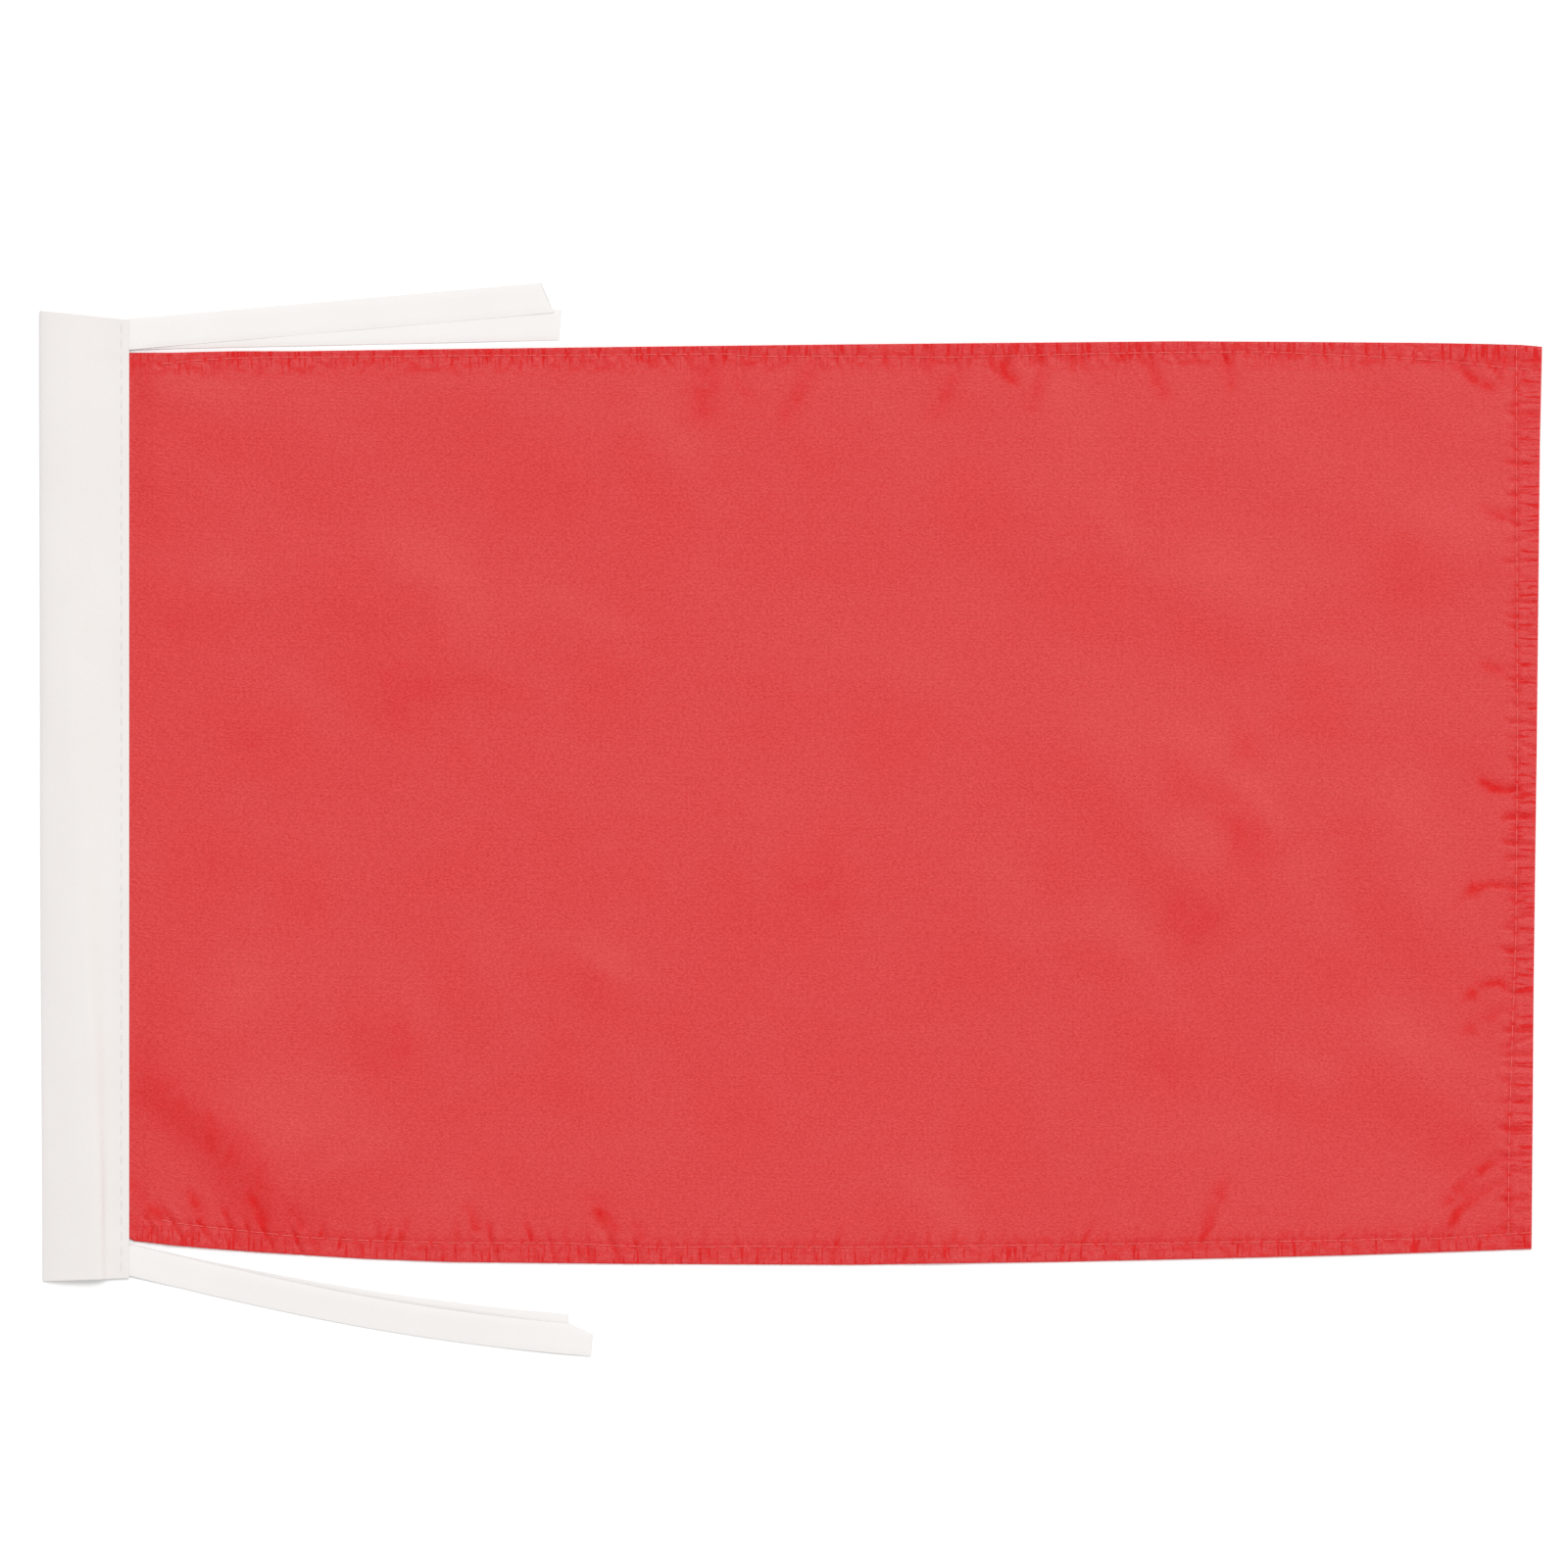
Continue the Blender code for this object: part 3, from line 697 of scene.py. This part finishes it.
def make_field():
    """Both faces of the field on one grid, finer along the hems, closed at their rounded rim."""
    x, y, block, stride = field_grid()
    front, crease_shade = front_face(x, y)
    top, bottom, fly = insets(x, y)
    edge = np.clip(np.minimum(np.minimum(top, bottom), fly), 0, None)
    thick = CLOTH + hem_share(x, y) * (HEM_PLIES - 1) * CLOTH
    thick = thick * eased(x, (SEAM_START, SEAM_START + 0.3), (0, 1))
    closing = np.clip(1 - edge / (thick / 2 + 0.02), 0, 1)
    half = thick / 2 * np.sqrt(1 - closing ** 2)
    upper = front - thick / 2 + half
    lower = np.maximum(front - thick / 2 - half, 0.02)
    maps = {
        "cut_cloth": np.stack([x, y], axis=-1),
        "from_edges": np.stack([np.minimum(top, bottom), fly], axis=-1),
        # This layer carries the painted shade of folds, puckers and stitch lines to the material.
        "crease_shade": np.stack([crease_shade, crease_shade], axis=-1),
    }
    over = np.stack([x, y, upper], axis=-1)
    under = np.stack([x, y, lower], axis=-1)
    cloth = cloth_piece("field_cloth", over, under, maps, RED_CLOTH, block, stride)
    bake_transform(cloth)
    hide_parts("field", "field_hoist_edge")


def stronger(tree, first, second):
    """The larger of two shares."""
    return shade(tree, "Math", {"operation": "MAXIMUM"}, {0: first, 1: second}).outputs[0]


def both(tree, first, second):
    """The product of two shares."""
    return shade(tree, "Math", {"operation": "MULTIPLY"}, {0: first, 1: second}).outputs[0]


def mapped(tree, name):
    """The two numbers that a cloth piece carries at each point under this name."""
    layer = shade(tree, "UVMap", {"uv_map": name}).outputs[0]
    parted = shade(tree, "SeparateXYZ", None, {"Vector": layer})
    return parted.outputs[0], parted.outputs[1]


def pulls_and_shade(tree):
    """Two shares: the fine pulls that run across a hem where stitching gathers it, and the painted shade
    of the cloth's colour, which takes in these pulls, the creases and darker patches through the hems."""
    from_side, from_fly = mapped(tree, "from_edges")
    pulls = []
    for inside, stretch, reach in ((from_side, (0.85, 0.10), 9.0), (from_fly, (0.10, 0.85), 10.5)):
        near = spread(tree, inside, 1.0, 0.0, reach * 0.45, reach)
        thin = spread(tree, noise(tree, stretch, 2.0, 0.4), 1.0, 0.0, 0.36, 0.47)
        pulls.append(both(tree, near, thin))
    fine = stronger(tree, pulls[0], pulls[1])
    hem = spread(tree, from_side, 1.0, 0.0, 6.5, 10.0)
    # Darker patches through the hem band, where a noise runs high.
    hem_patches = both(tree, hem, spread(tree, noise(tree, (0.22, 0.40), 2.5), 0.0, 0.6, 0.44, 0.66))
    broken = spread(tree, noise(tree, (0.13, 0.13), 3.0, 0.6), 0.30, 1.30, 0.32, 0.66)
    # Painted shade in the creases, broken up by a noise.
    crease_shade = both(tree, mapped(tree, "crease_shade")[0], broken)
    return fine, stronger(tree, fine, stronger(tree, hem_patches, crease_shade))


def red_polyester():
    """Red flag cloth: a close weave with uneven threads, faint streaks along the weft, blotches of
    painted sheen, and a soft gloss that the pulled threads of the hems lose. Its creases, puckers and
    stitch lines are painted in shade, a deeper and darker red."""
    material, tree, shader = new_material("red_woven_polyester")
    grain = spread(tree, noise(tree, (1.15, 2.0), 2.5, 0.8), 0.0, 1.0, 0.38, 0.62)
    colour = blended(tree, grain, (0.530, 0.0004, 0.0008), (0.620, 0.0245, 0.0250))
    streaks = spread(tree, noise(tree, (0.030, 0.90), 3.0), 0.0, 1.0)
    cloud = spread(tree, noise(tree, (0.030, 0.045), 3.0, 0.8), 0.0, 1.0)
    # Both add a faint pale tint: along the streaks it is uneven weft, and over the broad cloud it is
    # painted sheen.
    for share, tint in ((streaks, (0.003, 0.0050, 0.0050)), (cloud, (0.002, 0.0050, 0.0050))):
        sockets = {"Fac": share, "Color1": colour, "Color2": (*tint, 1)}
        colour = shade(tree, "MixRGB", {"blend_type": "ADD"}, sockets).outputs[0]
    pulls, shade_and_patches = pulls_and_shade(tree)
    # Painted shade: the creases, puckers, stitch lines and hem patches turn a deeper, darker red.
    sockets = {"Fac": shade_and_patches, "Color1": colour, "Color2": (1.02, 0.30, 0.30, 1)}
    colour = shade(tree, "MixRGB", {"blend_type": "MULTIPLY"}, sockets).outputs[0]
    tree.links.new(colour, shader.inputs["Base Color"])
    rough = spread(tree, noise(tree, (0.8, 1.6), 2.0), 0.39, 0.47)
    dull = spread(tree, shade_and_patches, 0.0, 0.50, 0.0, 1.0)
    rough = shade(tree, "Math", {"operation": "ADD"}, {0: rough, 1: dull}).outputs[0]
    tree.links.new(rough, shader.inputs["Roughness"])
    relief = bump(tree, pulls, 0.00015, 0.5)
    relief = bump(tree, noise(tree, (1.1, 2.0), 2.5, 0.8), 0.00010, 0.75, relief)
    relief = bump(tree, plain_weave(tree, 0.42), 0.00004, 0.5, relief)
    tree.links.new(relief, shader.inputs["Normal"])
    shader.inputs["Specular IOR Level"].default_value = 0.45
    shader.inputs["Sheen Weight"].default_value = 0.06
    shader.inputs["Sheen Roughness"].default_value = 0.4
    return material


RED_CLOTH = red_polyester()
make_field()


# ---------------------------------------------------------------- stitching
# Lock stitches of twisted polyester thread, 0.3 mm thick and about 5 mm long. The needle thread
# shows on the front and the bobbin thread on the back, and both dip into the cloth at every hole.

THREAD = 0.30


def twisted_thread(name, light, shadow, rough):
    """Thread of three strands laid round each other. Its colour runs from the shadow colour in the
    grooves between the strands to the light colour on their crowns: painted shade along the lay.
    """
    material, tree, shader = new_material(name)
    place = cut_cloth(tree, (1.0, 1.0))
    settings = {"wave_type": "BANDS", "bands_direction": "DIAGONAL"}
    lay = shade(tree, "TexWave", settings, {"Vector": place, "Scale": 0.55, "Distortion": 0.3}).outputs[1]
    # Painted shade in the grooves between the strands.
    tree.links.new(blended(tree, lay, shadow, light), shader.inputs["Base Color"])
    tree.links.new(bump(tree, lay, 0.00005, 0.6), shader.inputs["Normal"])
    uneven = spread(tree, noise(tree, (0.6, 0.6), 1.0), rough, rough + 0.1)
    tree.links.new(uneven, shader.inputs["Roughness"])
    shader.inputs["Sheen Weight"].default_value = 0.2
    shader.inputs["Sheen Roughness"].default_value = 0.4
    return material


def stitch_run(name, line, face, material, length):
    """A run of stitches along a line of (x, y, z) points a small step apart: face is 1 for the
    needle thread over the front and -1 for the bobbin thread under the back."""
    step = np.diff(line[:, :2], axis=0)
    along = np.concatenate([[0], np.cumsum(np.hypot(step[:, 0], step[:, 1]))])
    phase = (along / length) % 1.0
    over = eased(phase, (0, 0.09, 0.20, 0.50, 0.80, 0.91, 1.0),
                 (-0.26, -0.08, 0.19, 0.26, 0.19, -0.08, -0.26))
    middle = line.copy()
    middle[:, 2] += face * over
    tangent = np.gradient(middle, axis=0)
    tangent /= np.linalg.norm(tangent, axis=1)[:, None]
    side = np.cross(tangent, (0, 0, 1))
    side /= np.linalg.norm(side, axis=1)[:, None]
    rise = np.cross(side, tangent)
    sides = 7
    turn = np.linspace(0, math.tau, sides, endpoint=False)
    cosine = np.cos(turn)[None, :, None]
    sine = np.sin(turn)[None, :, None]
    ring = side[:, None] * cosine + rise[:, None] * sine
    tube = (middle[:, None] + ring * THREAD / 2).reshape(-1, 3) * MM
    count = len(middle)
    faces = []
    places = []
    for i in range(count - 1):
        for j in range(sides):
            k = (j + 1) % sides
            faces.append([i * sides + j, i * sides + k, (i + 1) * sides + k, (i + 1) * sides + j])
            places += [(along[i], j), (along[i], j + 1), (along[i + 1], j + 1), (along[i + 1], j)]
    for cap in (range(sides), range((count - 1) * sides, count * sides)):
        faces.append(list(cap))
        places += [(0, j) for j in range(sides)]
    mesh = bpy.data.meshes.new(name)
    mesh.from_pydata(tube.tolist(), [], faces)
    layer = mesh.uv_layers.new(name="cut_cloth")
    layer.data.foreach_set("uv", (np.array(places, float) * (6.0, 1.0)).astype(np.float32).ravel())
    return finish_mesh(name, mesh, material)


WHITE_THREAD = twisted_thread("white_polyester_thread",
                              (0.745, 0.715, 0.695), (0.690, 0.660, 0.640), 0.55)
RED_THREAD = twisted_thread("red_polyester_thread",
                            (0.88, 0.115, 0.105), (0.76, 0.070, 0.064), 0.34)
STITCH_STEP = STITCH / 18


def make_heading_stitches():
    """The seam through the heading's two plies, from one end of it to the other."""
    low, high = extent("heading_needle_thread")
    x = (low[0] + high[0]) / 2
    y = np.arange(low[1] + 0.6, high[1] - 0.6, STITCH_STEP)
    sink = 0.26
    levels = {
        "needle": (1, seam_front(y) + TAPE / 2 - sink),
        "bobbin": (-1, SEAM_BACK - TAPE / 2 + sink + 0 * y),
    }
    for kind, (face, level) in levels.items():
        line = np.stack([x + 0 * y, y, level], axis=-1)
        thread = stitch_run("heading_" + kind + "_stitches", line, face, WHITE_THREAD, STITCH)
        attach(thread, "heading")
        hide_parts("heading_" + kind + "_thread")


def make_hem_stitches():
    """The three hem lines. The top and bottom lines run out to the fly edge, and the fly line
    crosses them. Each starts at a needle hole."""
    start = extent("top_hem_needle_thread")[0][0]
    x = np.arange(math.ceil(start / STITCH) * STITCH, fly_edge(0) - 1.2, STITCH_STEP)
    first = math.ceil((bottom_edge(462) + 1.2) / STITCH) * STITCH
    y = np.arange(first, top_edge(462) - 1.2, STITCH_STEP)
    lines = {
        "top_hem": (x, top_edge(x) - top_stitch(x)),
        "bottom_hem": (x, bottom_edge(x) + bottom_stitch(x)),
        "fly_hem": (fly_edge(y) - fly_stitch(y), y),
    }
    for hem, (line_x, line_y) in lines.items():
        top, _ = front_face(line_x, line_y)
        under = np.maximum(top - HEM_PLIES * CLOTH, 0.2)
        for kind, face, level in (("needle", 1, top), ("bobbin", -1, under)):
            line = np.stack([line_x, line_y, level], axis=-1)
            thread = stitch_run(hem + "_" + kind + "_stitches", line, face, RED_THREAD, STITCH)
            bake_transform(thread)
            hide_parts(hem + "_" + kind + "_thread")


make_heading_stitches()
make_hem_stitches()


# ---------------------------------------------------------------- ties
# At each end of the heading, a white tape 10 mm wide is folded in the middle, and its fold is
# sewn into the seam. Its two tails lie one on the other beside the field, cut off aslant.

TIE_TAPE = woven_tape("white_tie_tape", (0.768, 0.742, 0.725), (0.756, 0.729, 0.711), 0.40)
TIE_WIDTH = 10.0
TIE_Y = (extent("tie_top_fold")[0][1] + extent("tie_top_fold")[1][1]) / 2


def make_tail(name, side, layer, length, turn, slant, relief, corner=(1.0, 0.0)):
    """One tail, from the fold inside the seam to its cut end. layer is 1 for the tail on top,
    turn its direction at stops along it, in degrees, slant how far its upper corner stands out
    over its middle, relief its rises as (place, width, height along its upper edge, height along
    its lower edge), and corner how much of its upper edge is cut off, along and across."""
    seam_z = seam_level(1 + layer)
    rest_z = TAPE / 2 + 0.04 + 0.32 * layer
    inside = SEWN_EDGE - SEAM_START
    full = length + inside
    along = np.concatenate([np.arange(0, full, 1.0), full + np.array([-0.25, -0.1, 0])])
    along = np.unique(np.clip(np.concatenate([[0, 0.1, 0.25], along]), 0, full))
    angle = np.radians(np.interp(along - inside, *turn))
    angle = np.where(along < inside, 0, angle)
    steps = np.diff(along)
    x = SEAM_START + np.concatenate([[0], np.cumsum(steps * np.cos(angle[:-1]))])
    y = side * TIE_Y + np.concatenate([[0], np.cumsum(steps * np.sin(angle[:-1]))])
    upper_half = (0.2, 0.4, 0.6, 0.75, 0.86, 0.94, 0.985, 1)
    across = np.array([-place for place in reversed(upper_half)] + [0, *upper_half])
    cut = corner[1] * np.clip((along - inside - length + corner[0]) / corner[0], 0, 1)[:, None]
    offset = across * TIE_WIDTH / 2 - cut * (across + 1) / 2
    lean = slant * eased(along - inside, (length - 14, length), (0, 1))[:, None] * across
    grid_x = x[:, None] - np.sin(angle)[:, None] * offset + lean * np.cos(angle)[:, None]
    grid_y = y[:, None] + np.cos(angle)[:, None] * offset + lean * np.sin(angle)[:, None]
    drop = eased(grid_x, (SEWN_EDGE, SEWN_EDGE + 16), (0, 1))
    z = seam_z + (rest_z - seam_z) * drop
    for place, width, upper, lower in relief:
        share = (across + 1) / 2
        hump = np.exp(-(((along - inside)[:, None] - place) / width) ** 2)
        z = z + hump * (lower + (upper - lower) * share * share * (3 - 2 * share)) * drop
    from_ends = np.minimum(along, full - along)[:, None]
    rim = np.minimum(from_ends, TIE_WIDTH / 2 * (1 - np.abs(across)))
    thin = 0.4 + 0.6 * eased(rim, (0.0, 1.8), (0, 1))
    half = TAPE / 2 * thin * rounded(rim)
    z = z - TAPE / 2 * (1 - thin)
    front = np.stack([grid_x, grid_y, z + half], axis=-1)
    back = np.stack([grid_x, grid_y, np.maximum(z - half, 0.02)], axis=-1)
    maps = {"cut_cloth": np.stack([along[:, None] + 0 * offset, offset], axis=-1)}
    tail = cloth_piece(name + "_tape", front, back, maps, TIE_TAPE)
    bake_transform(tail)
    return tail


top_front = make_tail("tie_top_front", 1, 1, 136.1, ((0, 136), (5.0, 5.0)), -1.7, (
    (12, 6, 0.1, 0.0), (40, 16, 0.25, 0.0), (78, 20, 0.3, 0.0), (112, 18, 0.3, 0.0)))
top_back = make_tail("tie_top_back", 1, 0, 139.8, ((0, 138), (1.27, 1.27)), 0.5, (
    (20, 8, 0.0, 0.1), (60, 18, 0.0, 0.15), (104, 20, 0.05, 0.2)))
bottom_front = make_tail("tie_bottom_front", -1, 1, 152.6,
                         ((0, 20, 60, 100, 150), (-13.5, -13.5, -11.6, -8.4, -4.6)), 0.0, (
    (10, 5, 0.15, 0.15), (60, 50, 1.1, 0.0), (110, 30, 0.5, 0.0), (140, 14, 0.1, 0.3)), corner=(8.0, 2.9))
bottom_back = make_tail("tie_bottom_back", -1, 0, 144.2,
                        ((0, 20, 60, 100, 141), (-12.4, -11.9, -10.0, -7.6, -4.6)), -0.4, (
    (16, 6, 0.05, 0.05), (80, 50, 0.6, 0.0), (134, 20, 0.25, 0.0)))
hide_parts("tie_top_front_tail", "tie_top_fold")
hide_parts("tie_top_back_tail")
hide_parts("tie_bottom_front_tail", "tie_bottom_fold")
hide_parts("tie_bottom_back_tail")


# ---------------------------------------------------------------- room
# A plain white table top under soft light: an even pale room, and one large lamp high up
# towards the flag's top right corner. The camera looks straight down.

def make_floor():
    """The table top, large enough for every view of the flag."""
    half = 12.0
    corners = [(-half, -half, 0), (half, -half, 0), (half, half, 0), (-half, half, 0)]
    mesh = bpy.data.meshes.new("floor")
    mesh.from_pydata(corners, [], [(0, 1, 2, 3)])
    material, tree, shader = new_material("white_table_top")
    place = shade(tree, "TexCoord").outputs["Object"]
    tone = shade(tree, "TexNoise", None, {"Vector": place, "Scale": 3.0, "Detail": 1.0}).outputs[0]
    white = blended(tree, tone, (0.955, 0.955, 0.955), (0.965, 0.965, 0.965))
    tree.links.new(white, shader.inputs["Base Color"])
    shader.inputs["Roughness"].default_value = 0.9
    shader.inputs["Specular IOR Level"].default_value = 0.1
    mesh.materials.append(material)
    floor = bpy.data.objects.new("floor", mesh)
    floor.location.z = -0.00002
    bpy.context.scene.collection.objects.link(floor)


def make_light():
    """The room's even light, brighter low down than overhead, and the lamp."""
    world = bpy.data.worlds.new("pale_room")
    bpy.context.scene.world = world
    world.use_nodes = True
    tree = world.node_tree
    direction = shade(tree, "TexCoord").outputs["Generated"]
    height = shade(tree, "SeparateXYZ", None, {"Vector": direction}).outputs["Z"]
    strength = spread(tree, height, 1.10, 0.64, 0.0, 1.0)
    tree.links.new(strength, tree.nodes["Background"].inputs["Strength"])
    tree.nodes["Background"].inputs["Color"].default_value = (1.0, 1.0, 1.0, 1)
    lamp_data = bpy.data.lights.new("overhead_lamp", "AREA")
    lamp_data.shape = "RECTANGLE"
    lamp_data.size = 4.4
    lamp_data.size_y = 3.6
    lamp_data.energy = 349.0
    lamp = bpy.data.objects.new("overhead_lamp", lamp_data)
    bpy.context.scene.collection.objects.link(lamp)
    centre = (cad_low + cad_high) / 2
    lamp.location = centre + Vector((1.36, 3.20, 7.6))
    lamp.rotation_euler = (centre - lamp.location).to_track_quat("-Z", "Y").to_euler()


def make_camera():
    """Straight down, with the flag a little right of and below the picture's middle."""
    lens = 350.0
    picture = (cad_high.x - cad_low.x) * 1.0437
    centre = (cad_low + cad_high) / 2
    data = bpy.data.cameras.new("camera")
    data.lens = lens
    data.clip_end = 40
    camera = bpy.data.objects.new("camera", data)
    bpy.context.scene.collection.objects.link(camera)
    height = picture * lens / data.sensor_width
    camera.location = (centre.x - 0.0041 * picture, centre.y + 0.0228 * picture, height)
    bpy.context.scene.camera = camera


make_floor()
make_light()
make_camera()
bpy.context.scene.view_settings.view_transform = "Standard"
